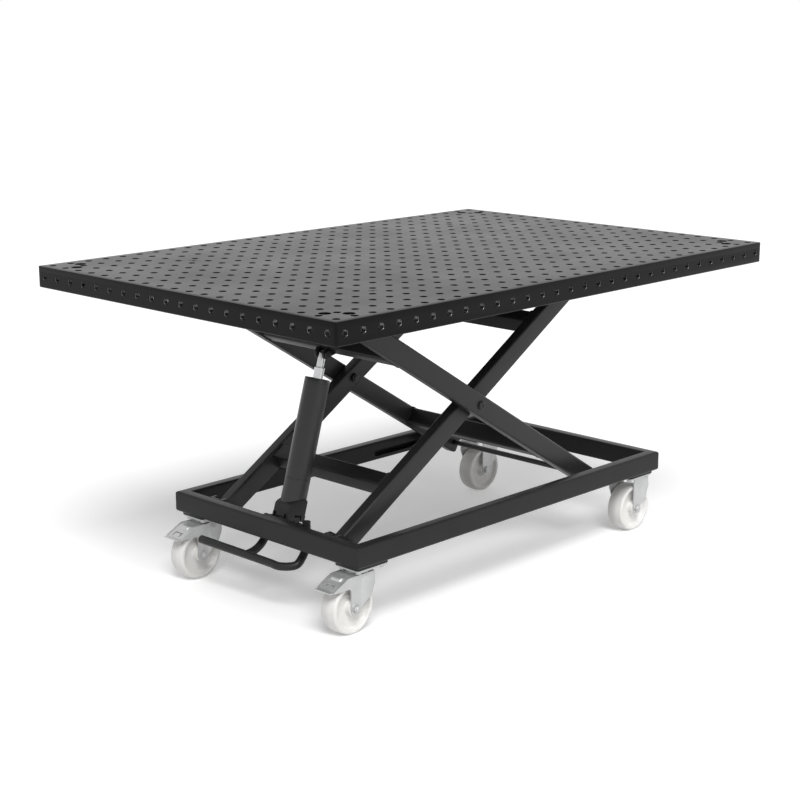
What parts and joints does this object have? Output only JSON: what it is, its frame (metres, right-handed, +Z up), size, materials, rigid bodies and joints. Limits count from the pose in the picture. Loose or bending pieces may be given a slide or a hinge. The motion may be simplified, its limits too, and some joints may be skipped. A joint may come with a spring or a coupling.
{
  "type": "mobile scissor lift assembly table",
  "caption": "Perforated steel assembly table on a foot-pumped scissor lift frame, with braked swivel castors at the pedal end and fixed castors behind.",
  "frame": {"origin": "on the floor under the middle of the tabletop", "axes": "+X along the long side, away from the pedal end, +Y to the left, +Z up"},
  "size_m": [1.5, 1, 0.768],
  "materials": {
    "plate_steel": "matt dark grey nitrided steel plate with drilled holes",
    "frame_black": "satin black powder coat with a fine orange peel",
    "pin_steel": "black oxide with a light oil sheen",
    "rod_chrome": "ground hard chrome",
    "castor_zinc": "bright zinc plated pressed steel",
    "wheel_polyamide": "natural cream cast polyamide, slightly waxy"
  },
  "bodies": {
    "base": {"base_beam_left": "frame_black", "base_beam_right": "frame_black", "base_beam_front": "frame_black", "base_beam_rear": "frame_black", "lower_pivot_bracket_left": "frame_black", "lower_pivot_bracket_right": "frame_black", "lower_pivot_pin_left": "pin_steel", "lower_pivot_pin_right": "pin_steel", "cylinder_foot_bracket": "frame_black", "pedal_shaft": "pin_steel", "castor_mount_front_left": "frame_black", "castor_mount_front_right": "frame_black", "castor_mount_rear_left": "frame_black", "castor_mount_rear_right": "frame_black", "castor_head_front_left": "castor_zinc", "castor_head_front_right": "castor_zinc", "castor_fork_rear_left": "castor_zinc", "castor_fork_rear_right": "castor_zinc"},
    "inner_arms": {"inner_arm_left": "frame_black", "inner_arm_right": "frame_black", "inner_arm_crossbar_low": "frame_black", "inner_arm_crossbar_high": "frame_black", "centre_pivot_bolt_left": "pin_steel", "centre_pivot_bolt_right": "pin_steel", "upper_slide_axle": "pin_steel"},
    "outer_arms": {"outer_arm_left": "frame_black", "outer_arm_right": "frame_black", "outer_arm_crossbar_high": "frame_black", "outer_arm_crossbar_low": "frame_black", "rod_bracket_left": "frame_black", "rod_bracket_right": "frame_black", "lower_slide_axle": "pin_steel", "rod_pin": "pin_steel"},
    "top": {"tabletop_plate": "plate_steel", "side_skirt_left": "plate_steel", "side_skirt_right": "plate_steel", "top_rib_left": "plate_steel", "top_rib_right": "plate_steel", "end_skirt_front": "plate_steel", "end_skirt_rear": "plate_steel", "lift_beam_left": "frame_black", "lift_beam_right": "frame_black", "lift_beam_front": "frame_black", "lift_beam_rear": "frame_black", "upper_pivot_bracket_left": "frame_black", "upper_pivot_bracket_right": "frame_black", "upper_pivot_pin_left": "pin_steel", "upper_pivot_pin_right": "pin_steel"},
    "cylinder": {"pump_block": "frame_black", "cylinder_barrel": "frame_black"},
    "rod": {"piston_rod": "rod_chrome"},
    "pedal": {"foot_pedal": "frame_black"},
    "swivel_left": {"castor_fork_front_left": "castor_zinc"},
    "brake_left": {"brake_lever_front_left": "castor_zinc"},
    "swivel_right": {"castor_fork_front_right": "castor_zinc"},
    "brake_right": {"brake_lever_front_right": "castor_zinc"},
    "wheel_front_left": {"castor_wheel_front_left": "wheel_polyamide"},
    "wheel_front_right": {"castor_wheel_front_right": "wheel_polyamide"},
    "wheel_rear_left": {"castor_wheel_rear_left": "wheel_polyamide"},
    "wheel_rear_right": {"castor_wheel_rear_right": "wheel_polyamide"}
  },
  "joints": [
    {"name": "lift", "type": "hinge", "parent": "base", "child": "inner_arms", "pos_m": [-0.449, 0, 0.179], "axis": [0, -1, 0], "range_deg": [-3, 20]},
    {"name": "scissor", "type": "hinge", "parent": "inner_arms", "child": "outer_arms", "pos_m": [-0.03401, 0, 0.4348], "axis": [0, -1, 0], "range_deg": [-40.5, 6.5]},
    {"name": "top_level", "type": "hinge", "parent": "outer_arms", "child": "top", "pos_m": [-0.449, 0, 0.69061], "axis": [0, -1, 0], "range_deg": [-3.5, 20.5]},
    {"name": "cylinder_tilt", "type": "hinge", "parent": "base", "child": "cylinder", "pos_m": [-0.427, 0, 0.19], "axis": [0, -1, 0], "range_deg": [-2.4, 13]},
    {"name": "rod_extend", "type": "hinge", "parent": "outer_arms", "child": "rod", "pos_m": [-0.31584, 0, 0.56742], "axis": [0, -1, 0], "range_deg": [-5, 30]},
    {"name": "pedal_press", "type": "hinge", "parent": "base", "child": "pedal", "pos_m": [-0.47, 0, 0.196], "axis": [0, -1, 0], "range_deg": [0, 20], "stiffness_Nm_per_rad": 5, "springref_deg": -11.46},
    {"name": "swivel_left", "type": "hinge", "parent": "base", "child": "swivel_left", "pos_m": [-0.466, 0.264, 0.14], "axis": [0, 0, 1], "continuous": true},
    {"name": "brake_left", "type": "hinge", "parent": "swivel_left", "child": "brake_left", "pos_m": [-0.506, 0.264, 0.131], "axis": [0, -1, 0], "range_deg": [0, 10]},
    {"name": "spin_front_left", "type": "hinge", "parent": "swivel_left", "child": "wheel_front_left", "pos_m": [-0.498, 0.264, 0.0625], "axis": [0, 1, 0], "continuous": true},
    {"name": "spin_rear_left", "type": "hinge", "parent": "base", "child": "wheel_rear_left", "pos_m": [0.54137, 0.264, 0.0625], "axis": [0, 1, 0], "continuous": true},
    {"name": "swivel_right", "type": "hinge", "parent": "base", "child": "swivel_right", "pos_m": [-0.466, -0.264, 0.14], "axis": [0, 0, 1], "continuous": true},
    {"name": "brake_right", "type": "hinge", "parent": "swivel_right", "child": "brake_right", "pos_m": [-0.506, -0.264, 0.131], "axis": [0, -1, 0], "range_deg": [0, 10]},
    {"name": "spin_front_right", "type": "hinge", "parent": "swivel_right", "child": "wheel_front_right", "pos_m": [-0.498, -0.264, 0.0625], "axis": [0, 1, 0], "continuous": true},
    {"name": "spin_rear_right", "type": "hinge", "parent": "base", "child": "wheel_rear_right", "pos_m": [0.54137, -0.264, 0.0625], "axis": [0, 1, 0], "continuous": true}
  ],
  "couplings": [
    {"joint": "scissor", "follows": "lift", "ratio": -2},
    {"joint": "top_level", "follows": "lift", "ratio": 1},
    {"joint": "cylinder_tilt", "follows": "lift", "ratio": 0.623},
    {"joint": "rod_extend", "follows": "lift", "ratio": 1.473}
  ]
}
